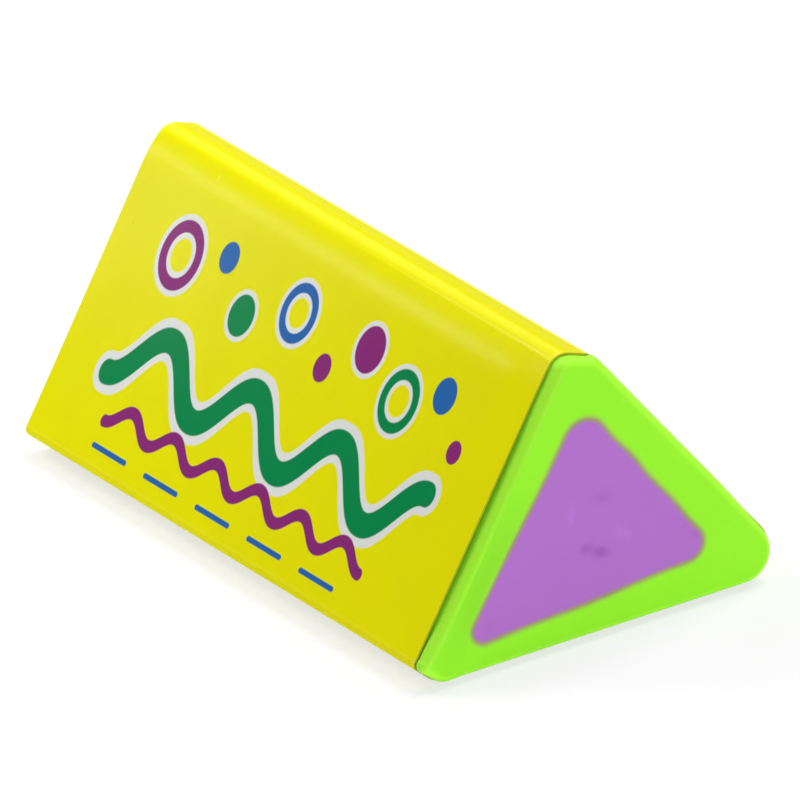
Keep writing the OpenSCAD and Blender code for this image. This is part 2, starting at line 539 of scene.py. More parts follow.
@dataclass(frozen=True)
class RubberFinish(Finish):
    """Soft matte rubber, bonded to a rubber of another colour.

    Attributes:
        own: Its colour.
        reach: How far the dull line at the joint runs into it, in millimetres.
        scuffs: Share of the surface with rubbed streaks.
        dirt_and_shade: How a dirty spot, or painted shade on the green's near end, darkens it: its gain and
            its power.
    """

    own: Paint
    reach: float
    scuffs: float
    dirt_and_shade: tuple[float, float]

    LIGHT = (1.1, 1.0, 0.01)
    # Paler tone of rubbed spots on the end faces, also used as painted highlight on the near rim.
    PALE_AND_HIGHLIGHT = (1.25, 1.0, 0.02)
    STRETCH = (0.5, 0.6, 1.9)
    MOTTLE_SHARE = 0.22
    STREAK_SHARE = 0.35
    CRUMB_SHARE = 0.3
    ROUGHNESS = 0.56
    MOTTLE_ROUGHNESS = 0.08
    STREAK_ROUGHNESS = -0.12
    STREAK_HEIGHT = -0.5
    RELIEF = 0.02
    SHINE = 0.35
    SCATTER = 0.15
    SCATTER_EACH = (1.0, 1.0, 1.0)
    SCATTER_LENGTH = 0.35

    def paint(self, graph: Graph, shader: bpy.types.Node) -> None:
        """Feeds the shader with mottled rubber, smudges with painted shade and a painted highlight, streaks,
        crumbs and the run of colour at the joint.

        Args:
            graph: Graph of the material.
            shader: Its Principled shader.
        """
        place = graph.place()
        grain = graph.group(grain_group(), Place=place, Fine=3.2, Broad=0.32).outputs
        streaks = graph.group(scuff_group(), Place=place, Stretch=self.STRETCH, Cover=self.scuffs).outputs[0]
        crumbs = graph.group(speck_group(), Place=place, Per_mm=1.1, Size=0.16, Share=0.12).outputs[0]
        gap = graph.value_of("joint_gap")
        joint = Paint.JOINT.rgba
        rubber = graph.group(bond_group(), Own=self.own.rgba, Joint=joint, Gap=gap, Reach=self.reach)
        deep = self.own.toned(*self.dirt_and_shade)
        smudge_and_painted_light = graph.value_of("smudge_and_painted_light")
        colour = graph.over(grain["Tone"], self.MOTTLE_SHARE, rubber.outputs[0], self.own.toned(*self.LIGHT))
        # Paler where the value is above 0: rubbed spots on the end faces, and painted highlight on the near
        # rim.
        colour = graph.mix(graph.band(smudge_and_painted_light, 0.0, 1.0), colour, self.own.toned(*self.PALE_AND_HIGHLIGHT))
        # Darker where it is below 0: dirty dents, and painted shade along the front of the near end face.
        colour = graph.mix(graph.band(smudge_and_painted_light, 0.0, -1.0), colour, deep)
        colour = graph.over(streaks, self.STREAK_SHARE, colour, deep)
        colour = graph.over(crumbs, self.CRUMB_SHARE, colour, deep)
        graph.feed(shader.inputs["Base Color"], colour)
        rough = graph.math("MULTIPLY_ADD", grain["Tone"], self.MOTTLE_ROUGHNESS, self.ROUGHNESS)
        rough = graph.math("MULTIPLY_ADD", streaks, self.STREAK_ROUGHNESS, rough)
        graph.feed(shader.inputs["Roughness"], rough)
        height = graph.math("MULTIPLY_ADD", streaks, self.STREAK_HEIGHT, grain["Height"])
        graph.feed(shader.inputs["Normal"], graph.bump(height, self.RELIEF))
        shader.inputs["Specular IOR Level"].default_value = self.SHINE
        shader.inputs["Subsurface Weight"].default_value = self.SCATTER
        shader.inputs["Subsurface Radius"].default_value = self.SCATTER_EACH
        shader.inputs["Subsurface Scale"].default_value = self.SCATTER_LENGTH * MM


@dataclass(frozen=True)
class PrintedFinish(Finish):
    """Coated card with ink on it.

    Attributes:
        ground: Colour of the whole sheet.
        marks: What is printed on the front panel.
    """

    ground: Paint
    marks: tuple[Mark, ...]

    DEEP = 0.93
    FLAW = 0.45
    STRETCH = (0.25, 1.8, 1.8)
    DEEP_SHARE = 0.35
    FLAW_SHARE = 0.35
    WORN_BAND = (0.42, 0.75)
    WORN_MOST = 0.5
    ROUGHNESS = 0.15
    DEEP_ROUGHNESS = 0.03
    RUBBED_ROUGHNESS = 0.05
    DULL_ROUGHNESS = 0.6
    WORN_ROUGHNESS = 0.4
    RELIEF = 0.001
    SHINE = 0.1

    def paint(self, graph: Graph, shader: bpy.types.Node) -> None:
        """Feeds the shader with the ink, its small flaws, the paper's grain and worn folds.

        Args:
            graph: Graph of the material.
            shader: Its Principled shader.
        """
        place = graph.place()
        sheet = graph.vector_of("sheet")
        grain = graph.group(grain_group(), Place=place, Fine=5.5, Broad=0.22).outputs
        flaws = graph.group(speck_group(), Place=place, Per_mm=0.7, Size=0.1, Share=0.1).outputs[0]
        rubbed = graph.group(scuff_group(), Place=place, Stretch=self.STRETCH, Cover=0.2).outputs[0]
        colour = graph.over(grain["Tone"], self.DEEP_SHARE, self.ground.rgba, self.ground.toned(self.DEEP))
        for mark in self.marks:
            colour = mark.lay(graph, sheet, colour)
        colour = graph.over(flaws, self.FLAW_SHARE, colour, self.ground.toned(self.FLAW))
        fibres = graph.noise(place, scale=2.4, detail=4.0, roughness=0.7)
        ragged = graph.math("MULTIPLY", graph.value_of("wear"), fibres)
        worn = graph.band(ragged, *self.WORN_BAND, 0.0, self.WORN_MOST)
        colour = graph.mix(worn, colour, Paint.PULP.rgba)
        graph.feed(shader.inputs["Base Color"], colour)
        rough = graph.math("MULTIPLY_ADD", grain["Tone"], self.DEEP_ROUGHNESS, self.ROUGHNESS)
        rough = graph.math("MULTIPLY_ADD", rubbed, self.RUBBED_ROUGHNESS, rough)
        rough = graph.math("MULTIPLY_ADD", graph.value_of("dull"), self.DULL_ROUGHNESS, rough)
        rough = graph.math("MULTIPLY_ADD", worn, self.WORN_ROUGHNESS, rough)
        graph.feed(shader.inputs["Roughness"], rough)
        graph.feed(shader.inputs["Normal"], graph.bump(grain["Height"], self.RELIEF))
        shader.inputs["Specular IOR Level"].default_value = self.SHINE


@dataclass(frozen=True)
class PaperFinish(Finish):
    """Bare paper fibres: the card's inside and its cut edges.

    Attributes:
        tone: Colour of the paper.
        fibre: Waves in a millimetre across the fibres.
    """

    tone: Paint
    fibre: float

    DEEP = 0.8
    SPECK = 0.4
    STRETCH = (0.5, 3.0, 3.0)
    DEEP_SHARE = 0.3
    LINE_SHARE = 0.4
    SPECK_SHARE = 0.35
    ROUGHNESS = 0.8
    DEEP_ROUGHNESS = 0.1
    RELIEF = 0.01
    SHINE = 0.2

    def paint(self, graph: Graph, shader: bpy.types.Node) -> None:
        """Feeds the shader with fibres that lie along the sleeve.

        Args:
            graph: Graph of the material.
            shader: Its Principled shader.
        """
        place = graph.place()
        grain = graph.group(grain_group(), Place=place, Fine=self.fibre, Broad=0.5).outputs
        lines = graph.group(scuff_group(), Place=place, Stretch=self.STRETCH, Cover=0.5).outputs[0]
        specks = graph.group(speck_group(), Place=place, Per_mm=1.3, Size=0.14, Share=0.18).outputs[0]
        deep = self.tone.toned(self.DEEP)
        colour = graph.over(grain["Tone"], self.DEEP_SHARE, self.tone.rgba, deep)
        colour = graph.over(lines, self.LINE_SHARE, colour, deep)
        colour = graph.over(specks, self.SPECK_SHARE, colour, self.tone.toned(self.SPECK))
        graph.feed(shader.inputs["Base Color"], colour)
        rough = graph.math("MULTIPLY_ADD", grain["Tone"], self.DEEP_ROUGHNESS, self.ROUGHNESS)
        graph.feed(shader.inputs["Roughness"], rough)
        graph.feed(shader.inputs["Normal"], graph.bump(grain["Height"], self.RELIEF))
        shader.inputs["Specular IOR Level"].default_value = self.SHINE


@dataclass(frozen=True)
class GlueFinish(Finish):
    """Dried film of glue with small bubbles.

    Attributes:
        tone: Colour of the film.
    """

    tone: Paint

    DEEP = 0.75
    DEEP_SHARE = 0.6
    BUBBLE_SHARE = 0.5
    ROUGHNESS = 0.3
    DEEP_ROUGHNESS = 0.2
    BUBBLE_HEIGHT = 0.6
    RELIEF = 0.01

    def paint(self, graph: Graph, shader: bpy.types.Node) -> None:
        """Feeds the shader with a streaky film and its bubbles.

        Args:
            graph: Graph of the material.
            shader: Its Principled shader.
        """
        place = graph.place()
        grain = graph.group(grain_group(), Place=place, Fine=1.2, Broad=0.4).outputs
        bubbles = graph.group(speck_group(), Place=place, Per_mm=1.0, Size=0.25, Share=0.35).outputs[0]
        deep = self.tone.toned(self.DEEP)
        colour = graph.over(grain["Tone"], self.DEEP_SHARE, self.tone.rgba, deep)
        graph.feed(shader.inputs["Base Color"], graph.over(bubbles, self.BUBBLE_SHARE, colour, deep))
        rough = graph.math("MULTIPLY_ADD", grain["Tone"], self.DEEP_ROUGHNESS, self.ROUGHNESS)
        graph.feed(shader.inputs["Roughness"], rough)
        height = graph.math("MULTIPLY_ADD", bubbles, self.BUBBLE_HEIGHT, grain["Height"])
        graph.feed(shader.inputs["Normal"], graph.bump(height, self.RELIEF))


class Skin:
    """Points, faces and point values of one mesh while it is built, in millimetres."""

    def __init__(self) -> None:
        """Starts with nothing."""
        self.points: list[Vector] = []
        self.faces: list[tuple[int, ...]] = []
        self.slots: list[int] = []
        self.numbers: dict[str, dict[int, float]] = {}
        self.vectors: dict[str, dict[int, Vector]] = {}

    def point(self, x: float, y: float, z: float) -> int:
        """Adds a point, and returns its index."""
        self.points.append(Vector((x, y, z)))
        return len(self.points) - 1

    def face(self, corners: Sequence[int], slot: int = 0) -> None:
        """Adds a face with a material slot."""
        self.faces.append(tuple(corners))
        self.slots.append(slot)

    def bridge(self, first: Sequence[int], second: Sequence[int], slot: int = 0, closed: bool = True) -> None:
        """Joins two rows of as many points by four-sided faces.

        Args:
            first: Indices of the first row.
            second: Indices of the second row.
            slot: Material slot of the faces.
            closed: Whether the rows are rings.
        """
        count = len(first)
        for i in range(count if closed else count - 1):
            after = (i + 1) % count
            self.face((first[i], first[after], second[after], second[i]), slot)

    def keep(self, name: str, index: int, value: float) -> None:
        """Gives a point a number under a name."""
        self.numbers.setdefault(name, {})[index] = value

    def keep_vector(self, name: str, index: int, value: Vector) -> None:
        """Gives a point a vector under a name."""
        self.vectors.setdefault(name, {})[index] = value

    def build(self, name: str, materials: Iterable[bpy.types.Material]) -> bpy.types.Object:
        """Makes the mesh and its object.

        Args:
            name: Name of the piece.
            materials: Materials of its slots, in order.

        Returns:
            The object, linked to the scene.
        """
        mesh = bpy.data.meshes.new(name)
        for material in materials:
            mesh.materials.append(material)
        bm = bmesh.new()
        layers = [(bm.verts.layers.float, title) for title in self.numbers]
        layers += [(bm.verts.layers.float_vector, title) for title in self.vectors]
        for kind, title in layers:
            kind.new(title)
        verts = [bm.verts.new(p * MM) for p in self.points]
        for kind, title in layers:
            values = self.numbers.get(title) or self.vectors[title]
            for index, value in values.items():
                verts[index][kind[title]] = value
        for corners, slot in zip(self.faces, self.slots):
            made = bm.faces.new([verts[i] for i in corners])
            made.material_index = slot
            made.smooth = True
        bmesh.ops.recalc_face_normals(bm, faces=bm.faces)
        bm.to_mesh(mesh)
        bm.free()
        mesh.set_sharp_from_angle(angle=SHARP_ANGLE)
        piece = bpy.data.objects.new(name, mesh)
        bpy.context.scene.collection.objects.link(piece)
        return piece


def dress(piece: bpy.types.Object, body: str, node: str) -> bpy.types.Object:
    """Puts a finished piece in the place of a CAD node.

    Args:
        piece: The finished piece.
        body: Body that it rides on.
        node: Node that it stands for.

    Returns:
        The same piece.
    """
    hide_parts(node)
    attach(piece, body)
    return piece


class Spot(NamedTuple):
    """Point of an outline, in the section's plane.

    Attributes:
        at: Its place.
        out: Its outward direction.
    """

    at: Vector
    out: Vector


@dataclass(frozen=True)
class Section:
    """Rounded triangle that the eraser is drawn to, lying on its base, its top cut to a narrow ridge face.

    Attributes:
        shift: Place of the triangle's middle line along Y.
        lift: Height of the base face above the table.
        width: Width of the base before its corners are rounded.
        height: Height of the triangle before its top is cut.
        front_r: Radius under the front foot.
        toe_slope: Slope of the narrow face that cuts the front foot, in radians.
        toe_r: Radius in front of that face.
        back_r: Radius at the back foot.
        ridge_cut: How far the ridge face lies below the triangle's top corner.
        ridge_lean: Lean of the ridge face towards the back, in radians.
        crest_front_r: Radius in front of the ridge face.
        crest_back_r: Radius behind the ridge face.
    """

    shift: float
    lift: float
    width: float = 25.2
    height: float = 17.9
    front_r: float = 1.3
    toe_slope: float = math.radians(43)
    toe_r: float = 0.6
    back_r: float = 1.8
    ridge_cut: float = 1.29
    ridge_lean: float = math.radians(19)
    crest_front_r: float = 1.0
    crest_back_r: float = 0.85

    ARC_STEPS = 12
    SIDE_STEP = 0.6
    BASE_WAY = 3 * math.pi / 2

    @classmethod
    def from_frame(cls) -> "Section":
        """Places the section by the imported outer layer's box.

        Returns:
            The section.
        """
        low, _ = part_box("outer_layer")
        plain = cls(0.0, 0.0)
        front = plain.toe(-plain.toe_r).x - plain.toe_r
        return cls(low.y / MM - front, low.z / MM)

    @property
    def slope(self) -> float:
        """Angle of the slanted faces, in radians."""
        return math.atan2(self.height, self.width / 2)

    @property
    def front_way(self) -> float:
        """Way that the front looks, in radians."""
        return math.pi / 2 + self.slope

    @property
    def toe_way(self) -> float:
        """Way that the narrow face at the front foot looks, in radians."""
        return self.BASE_WAY - self.toe_slope

    @property
    def top_drop(self) -> float:
        """Depth below the top corner of the middle of the circle that touches the three upper faces."""
        return self.ridge_cut / (math.cos(self.ridge_lean) - math.cos(self.slope))

    @property
    def top_z(self) -> float:
        """Height of that circle's middle."""
        return self.lift + self.height - self.top_drop

    def ridge_corner(self, off: float, first: float, second: float) -> Vector:
        """Corner near the top of two planes that lie off outside the skin, from their lean in radians."""
        away = (self.top_drop * math.cos(self.slope) + off) / math.cos((first - second) / 2)
        return Vector((0.0, self.top_z)) + away * heading(math.pi / 2 - (first + second) / 2)

    def foot_y(self, radius: float) -> float:
        """Distance from the middle line to the middle of a foot's round."""
        return self.width / 2 - radius / math.tan(self.slope / 2)

    def foot_corner(self, off: float, first: float, second: float) -> Vector:
        """Corner of two planes near the front foot.

        Args:
            off: How far both planes lie outside the bar's skin.
            first: Way that the first plane faces, in radians.
            second: Way that the second plane faces, in radians.

        Returns:
            The corner, measured from the middle line.
        """
        away = (self.front_r + off) / math.cos((second - first) / 2)
        middle = Vector((-self.foot_y(self.front_r), self.lift + self.front_r))
        return middle + away * heading((first + second) / 2)

    def toe(self, off: float) -> Vector:
        """Corner of the front and the narrow face under it, both moved out by off."""
        return self.foot_corner(off, self.front_way, self.toe_way)

    def slant_y(self, off: float, z: float) -> float:
        """Distance from the middle line to a plane that lies off outside a slanted face, at height z."""
        rise = z - self.lift
        return self.width / 2 - rise / math.tan(self.slope) + off / math.sin(self.slope)

    def outline(self, inset: float = 0.0) -> list[Spot]:
        """Closed outline of the bar.

        Args:
            inset: How far inside the bar's skin it lies.

        Returns:
            As many spots for any inset, from the back foot over the top to the front foot and along the base.
        """
        back_foot = Vector((self.foot_y(self.back_r), self.lift + self.back_r))
        front_foot = Vector((-self.foot_y(self.front_r), self.lift + self.front_r))
        back_crest = self.ridge_corner(-self.crest_back_r, self.slope, self.ridge_lean)
        front_crest = self.ridge_corner(-self.crest_front_r, self.ridge_lean, -self.slope)
        upright = math.pi / 2
        back_way, ridge_way = upright - self.slope, upright - self.ridge_lean
        ways = (-upright, back_way, ridge_way, self.front_way, self.toe_way, self.BASE_WAY)
        middles = (back_foot, back_crest, front_crest, self.toe(-self.toe_r), front_foot)
        radii = (self.back_r, self.crest_back_r, self.crest_front_r, self.toe_r, self.front_r)
        arcs = []
        for middle, radius, first, last in zip(middles, radii, ways, ways[1:]):
            turns = (first + (last - first) * i / self.ARC_STEPS for i in range(self.ARC_STEPS + 1))
            arcs.append([Spot(middle + (radius - inset) * heading(turn), heading(turn)) for turn in turns])
        spots: list[Spot] = []
        for arc, after in zip(arcs, arcs[1:] + arcs[:1]):
            spots += arc
            start, end = arc[-1], after[0]
            count = max(2, round((end.at - start.at).length / self.SIDE_STEP))
            spots += [Spot(start.at.lerp(end.at, i / count), start.out) for i in range(1, count)]
        middle_line = Vector((self.shift, 0.0))
        return [Spot(spot.at + middle_line, spot.out) for spot in spots]


def smooth_loop(points: Sequence[Vector], steps: int) -> list[Vector]:
    """Closed smooth curve through points.

    Args:
        points: Points in order round the loop.
        steps: New points for each given one.

    Returns:
        The points of the curve.
    """
    count = len(points)
    curve = []
    for i in range(count):
        before, start, end, after = (points[(i + k) % count] for k in (-1, 0, 1, 2))
        for step in range(steps):
            t = step / steps
            square = 2 * before - 5 * start + 4 * end - after
            cube = 3 * start - before - 3 * end + after
            bend = square * t * t + cube * t**3
            curve.append(start + ((end - before) * t + bend) / 2)
    return curve


def loop_gap(points: np.ndarray, loop: np.ndarray) -> np.ndarray:
    """Measures how far points lie from a loop.

    Args:
        points: The points.
        loop: Corners of the closed loop.

    Returns:
        Each point's distance to the loop.
    """
    start = loop[None, :, :]
    side = np.roll(loop, -1, axis=0)[None, :, :] - start
    to_point = points[:, None, :] - start
    share = np.clip((to_point * side).sum(2) / (side * side).sum(2), 0, 1)
    return np.linalg.norm(to_point - share[:, :, None] * side, axis=2).min(1)


def in_loop(points: np.ndarray, loop: np.ndarray) -> np.ndarray:
    """Finds the points inside a loop.

    Args:
        points: The points.
        loop: Corners of the closed loop.

    Returns:
        Whether each point lies inside the loop.
    """
    (y, z), (y1, z1) = points.T[:, :, None], loop.T[:, None, :]
    y2, z2 = np.roll(loop, -1, axis=0).T[:, None, :]
    crosses = (z1 > z) != (z2 > z)
    rise = np.where(z2 == z1, 1.0, z2 - z1)
    return (crosses & (y < y1 + (z - z1) * (y2 - y1) / rise)).sum(1) % 2 == 1


@dataclass(frozen=True)
class FaceNet:
    """Net of triangles over a flat face.

    Attributes:
        points: Its points, those of the outline first, then those of the hole.
        triangles: Indices of each triangle's points.
    """

    points: np.ndarray
    triangles: list[tuple[int, int, int]]

    CLEAR_SHARE = 0.55
    SAME_POINT = 1e-6

    @classmethod
    def fill(
        cls, outline: np.ndarray, hole: np.ndarray | None, extra: np.ndarray, spacing: float
    ) -> "FaceNet":
        """Fills an outline with triangles.

        Args:
            outline: Closed outline.
            hole: Closed outline of a hole, or None.
            extra: Points that the net must have inside.
            spacing: Distance between the other points inside.

        Returns:
            The net.
        """
        low, high = outline.min(0), outline.max(0)
        rows = np.arange(low[1], high[1], spacing * math.sqrt(3) / 2)
        columns = np.arange(low[0], high[0], spacing)
        grid = np.array([(y + spacing / 2 * (i % 2), z) for i, z in enumerate(rows) for y in columns])
        loops = [outline] if hole is None else [outline, hole]
        clear = spacing * cls.CLEAR_SHARE
        for loop in loops:
            grid = grid[loop_gap(grid, loop) > clear]
        grid = grid[cls.nearest(grid, extra) > clear]
        inside = in_loop(grid, outline)
        if hole is not None:
            inside &= ~in_loop(grid, hole)
        points = np.concatenate([*loops, extra, grid[inside]])
        edges, first = [], 0
        for loop in loops:
            edges += [(first + i, first + (i + 1) % len(loop)) for i in range(len(loop))]
            first += len(loop)
        made = geometry.delaunay_2d_cdt([Vector(p) for p in points], edges, [], 0, cls.SAME_POINT)
        corners = np.array([list(v) for v in made[0]])
        middles = np.array([corners[list(face)].mean(0) for face in made[2]])
        shown = in_loop(middles, outline)
        if hole is not None:
            shown &= ~in_loop(middles, hole)
        return cls(corners, [tuple(face) for face, keep in zip(made[2], shown) if keep])

    @staticmethod
    def nearest(points: np.ndarray, others: np.ndarray) -> np.ndarray:
        """Distance from each point to the nearest of the others."""
        return np.linalg.norm(points[:, None, :] - others[None, :, :], axis=2).min(1)


class Dent(NamedTuple):
    """Shallow mark or stain on an end face, in millimetres.

    Attributes:
        y: Place of its middle along Y.
        z: Height of its middle.
        long: Half its length.
        wide: Half its width.
        turn: Angle of its length from +Y, in radians.
        depth: How deep it is.
        tone: How pale it is rubbed, from -1 for dark to 1 for pale.
    """

    y: float
    z: float
    long: float
    wide: float
    turn: float
    depth: float
    tone: float

    def share(self, y: float, z: float) -> float:
        """How far a point of the face lies in the mark, from 0 to 1 in its middle."""
        along, up = Vector((y - self.y, z - self.z)) @ Matrix.Rotation(self.turn, 2)
        return math.exp(-((along / self.long) ** 2) - (up / self.wide) ** 2)


NEAR_DENTS = (
    Dent(-0.53, 5.6, 0.5, 0.3, 0.5, 0.03, -0.7),
    Dent(0.41, 5.1, 0.65, 0.36, -0.3, 0.03, -0.9),
    Dent(-1.19, 7.7, 0.8, 0.26, 1.4, 0.02, 0.5),
    Dent(1.68, 5.9, 0.34, 0.5, 0.2, 0.02, 0.5),
    Dent(2.26, 5.6, 0.26, 0.45, 0.1, 0.02, 0.5),
    Dent(0.91, 8.3, 0.8, 0.45, 0.0, 0.02, -0.5),
    Dent(-7.1, 2.6, 0.5, 0.3, 0.9, 0.03, -0.4),
    Dent(6.4, 4.4, 0.4, 0.3, -0.4, 0.03, -0.4),
)
# Painted shade: a broad darker band along the front edge of the near end face, where less light falls.
NEAR_PAINTED_SHADE = (Dent(-7.05, 5.6, 5.6, 1.4, 0.94, 0.0, -0.8),)
FAR_DENTS = (
    Dent(1.4, 7.0, 0.6, 0.35, 0.7, 0.03, -0.7),
    Dent(-2.6, 4.2, 0.45, 0.4, 0.0, 0.02, 0.5),
    Dent(5.0, 3.4, 0.5, 0.3, -0.6, 0.03, -0.5),
)


@dataclass(frozen=True)
class EndFace:
    """One end of the eraser.

    Attributes:
        x: Place of its flat face.
        inward: Direction into the eraser, 1 or -1.
        dents: Its marks.
        painted_shade: Patches of painted shade on the outer layer alone.
        seed: Place in the noise that makes it uneven.
    """

    x: float
    inward: int
    dents: tuple[Dent, ...]
    painted_shade: tuple[Dent, ...]
    seed: float

    SWELL = 0.03
    SWELL_LENGTH = 4.0
    FADE = 1.0

    def relief(self, y: float, z: float, from_edge: float) -> float:
        """How far the face lies below its plane at a point, less near the rounded edge.

        Args:
            y: Place along Y.
            z: Height.
            from_edge: Distance from the rounded edge.

        Returns:
            The depth.
        """
        swell = noise.noise(Vector((y / self.SWELL_LENGTH, z / self.SWELL_LENGTH, self.seed)))
        depth = self.SWELL * (0.5 + 0.5 * swell) + sum(dent.depth * dent.share(y, z) for dent in self.dents)
        return depth * smooth(from_edge, 0.0, self.FADE)

    def smudge_and_painted_light(self, y: float, z: float, shade_share: float) -> float:
        """How pale the face is rubbed at a point, below 0 where it is dark, plus a share of its painted
        shade.
        """
        rubbed = sum(dent.tone * dent.share(y, z) for dent in self.dents)
        return rubbed + shade_share * sum(shade_patch.tone * shade_patch.share(y, z) for shade_patch in self.painted_shade)


@dataclass
class Eraser:
    """The bar of two rubbers: the outer layer with its rounded ends, and the core that shows in both.

    Attributes:
        section: Outline that it is drawn to.
        rim: Radius of the rounding round both ends.
        rim_steps: Steps of that rounding.
        spacing: Distance between points on the end faces.
        sink: How far the middles of the front and back sides lie in.
        swell: How far the back side and the front foot swell where they stand out of the sleeve.
        ripple: How uneven the sides are.
        length_step: Distance between rings along the bar.
        core_loop: Outline of the core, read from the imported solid.
        rim_loop: Outline of the flat part of an end face.
        ends: The far end and the near one.
        mouth: Place of the sleeve's mouth.
    """

    section: Section
    rim: float = 0.5
    rim_steps: int = 8
    spacing: float = 0.34
    sink: tuple[float, float] = (0.12, 0.03)
    swell: tuple[float, float] = (0.2, 0.1)
    ripple: float = 0.012
    length_step: float = 1.0
    core_loop: np.ndarray = field(init=False)
    rim_loop: np.ndarray = field(init=False)
    ends: tuple[EndFace, EndFace] = field(init=False)
    mouth: float = field(init=False)

    JOINT_STEPS = (0.07, 0.15, 0.26, 0.42)
    FAR_FROM_JOINT = 1.0
    CLEAR_OF_JOINT = 0.4
    CORE_STEPS = 3
    MOUTH_STEPS = 3
    RIPPLE_LENGTHS = (5, 3, 3)
    SLANTED = (0.7, 0.8)
    SWELL_LENGTH = 0.15
    SWELL_FACING = (0.1, 0.7)
    SWELL_HEIGHT = (0.1, 0.5)
    TOE_REACH = (1.0, 3.0)
    TOE_FILL = 0.13
    # Share of the rim's rounding over which the painted highlight on the near rim fades out.
    RIM_HIGHLIGHT_SHARE = 0.3

    def __post_init__(self) -> None:
        """Reads the bar's ends, the sleeve's mouth and the core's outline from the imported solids."""
        self.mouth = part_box("card_sleeve")[1].x / MM
        low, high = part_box("outer_layer")
        self.ends = (
            EndFace(low.x / MM, 1, FAR_DENTS, (), seed=7.3),
            EndFace(high.x / MM, -1, NEAR_DENTS, NEAR_PAINTED_SHADE, seed=2.1),
        )
        vertices = [v.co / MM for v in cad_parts["core"].data.vertices]
        flat = {(round(v.y, 4), round(v.z, 4)) for v in vertices if v.x > 0}
        middle = np.mean(list(flat), axis=0)
        ordered = sorted(flat, key=lambda p: math.atan2(p[1] - middle[1], p[0] - middle[0]))
        self.core_loop = np.array(smooth_loop([Vector(p) for p in ordered], self.CORE_STEPS))
        self.rim_loop = np.array([spot.at for spot in self.section.outline(self.rim)])

    def build(self) -> list[bpy.types.Object]:
        """Makes both rubbers.

        Returns:
            The outer layer and the core.
        """
        # The green's darkening gain also sets the painted shade along the front of its near end face.
        lime = RubberFinish("green_rubber", Paint.LIME, reach=0.5, scuffs=0.18, dirt_and_shade=(0.84, 1.0))
        lilac = RubberFinish("purple_rubber", Paint.LILAC, reach=0.22, scuffs=0.14, dirt_and_shade=(0.92, 1.2))
        layer = self.outer_skin().build("green_outer_layer", [lime.material()])
        core = self.core_skin().build("purple_core", [lilac.material()])
        return [
            dress(layer, "eraser", "outer_layer"),
            dress(core, "eraser", "core"),
        ]

    def joint_rows(self, side: int) -> np.ndarray:
        """Rows of points beside the core's outline.

        Args:
            side: 1 for rows outside it and -1 for rows inside it.

        Returns:
            The points.
        """
        ahead = np.roll(self.core_loop, -1, axis=0) - np.roll(self.core_loop, 1, axis=0)
        ahead /= np.linalg.norm(ahead, axis=1)[:, None]
        out = np.stack([ahead[:, 1], -ahead[:, 0]], axis=1)
        return np.concatenate([self.core_loop + side * step * out for step in self.JOINT_STEPS])

    def side_depth(self, x: float, spot: Spot) -> float:
        """How far the bar's skin lies inside its outline, below 0 where it swells.

        Args:
            x: Place along the bar.
            spot: Spot of the outline.

        Returns:
            The depth.
        """
        section = self.section
        places = zip((x, *spot.at), self.RIPPLE_LENGTHS)
        uneven = noise.noise(Vector([place / length for place, length in places]))
        share = (spot.at.y - section.lift) / (section.top_z - section.lift)
        slanted = smooth(abs(spot.out.x), *self.SLANTED)
        dip = self.sink[spot.out.x > 0] * max(0.0, 4 * share * (1 - share)) * slanted
        outside = smooth(x, self.mouth, self.mouth + self.SWELL_LENGTH)
        toe = section.toe(0.0) + Vector((section.shift, 0.0))
        corner = spot.out.dot(heading((section.front_way + section.toe_way) / 2))
        flat = math.cos((section.toe_way - section.front_way) / 2)
        behind, in_front = self.swell
        swollen = behind * smooth(spot.out.x, *self.SWELL_FACING) * smooth(share, *self.SWELL_HEIGHT)
        swollen += in_front * (1 - smooth((spot.at - toe).length, *self.TOE_REACH))
        swollen += self.TOE_FILL * smooth(corner, flat, 1.0)
        return self.ripple * (0.5 + 0.5 * uneven) + dip - swollen * outside

    def end_points(self, skin: Skin, end: EndFace, net: FaceNet, outer: bool) -> list[int]:
        """Adds the points of an end face to a mesh.

        Args:
            skin: Mesh that is being built.
            end: Which end it is.
            net: Net over the face.
            outer: Whether it is the outer layer's face and not the core's.

        Returns:
            Indices of the points.
        """
        to_rim = loop_gap(net.points, self.rim_loop)
        to_joint = loop_gap(net.points, self.core_loop)
        indices = []
        for (y, z), rim_gap, joint_gap in zip(net.points, to_rim, to_joint):
            x = end.x + end.inward * end.relief(y, z, rim_gap)
            index = skin.point(x, y, z)
            skin.keep("joint_gap", index, min(self.FAR_FROM_JOINT, joint_gap))
            # Painted shade goes on the outer layer alone and fades out near the joint with the core.
            shade_share = smooth(joint_gap, 0.0, self.CLEAR_OF_JOINT) if outer else 0.0
            skin.keep("smudge_and_painted_light", index, end.smudge_and_painted_light(y, z, shade_share))
            indices.append(index)
        return indices

    def outer_skin(self) -> Skin:
        """Makes the outer layer: both end faces, the rounded rims, the sides and the bore round the core.

        Returns:
            Its mesh.
        """
        skin = Skin()
        net = FaceNet.fill(self.rim_loop, self.core_loop, self.joint_rows(1), self.spacing)
        rim_count, core_count = len(self.rim_loop), len(self.core_loop)
        rows, bores = [], []
        for end in self.ends:
            indices = self.end_points(skin, end, net, outer=True)
            for triangle in net.triangles:
                skin.face([indices[i] for i in triangle])
            rows.append(indices[:rim_count])
            bores.append(indices[rim_count:rim_count + core_count])
        skin.bridge(bores[0], bores[1])
        first, last = rows
        before = first
        for x, inset in self.ring_places():
            ring = []
            for spot in self.section.outline(inset):
                depth = self.side_depth(x, spot) * (1 - inset / self.rim)
                y, z = spot.at - depth * spot.out
                ring.append(skin.point(x, y, z))
                skin.keep("joint_gap", ring[-1], self.FAR_FROM_JOINT)
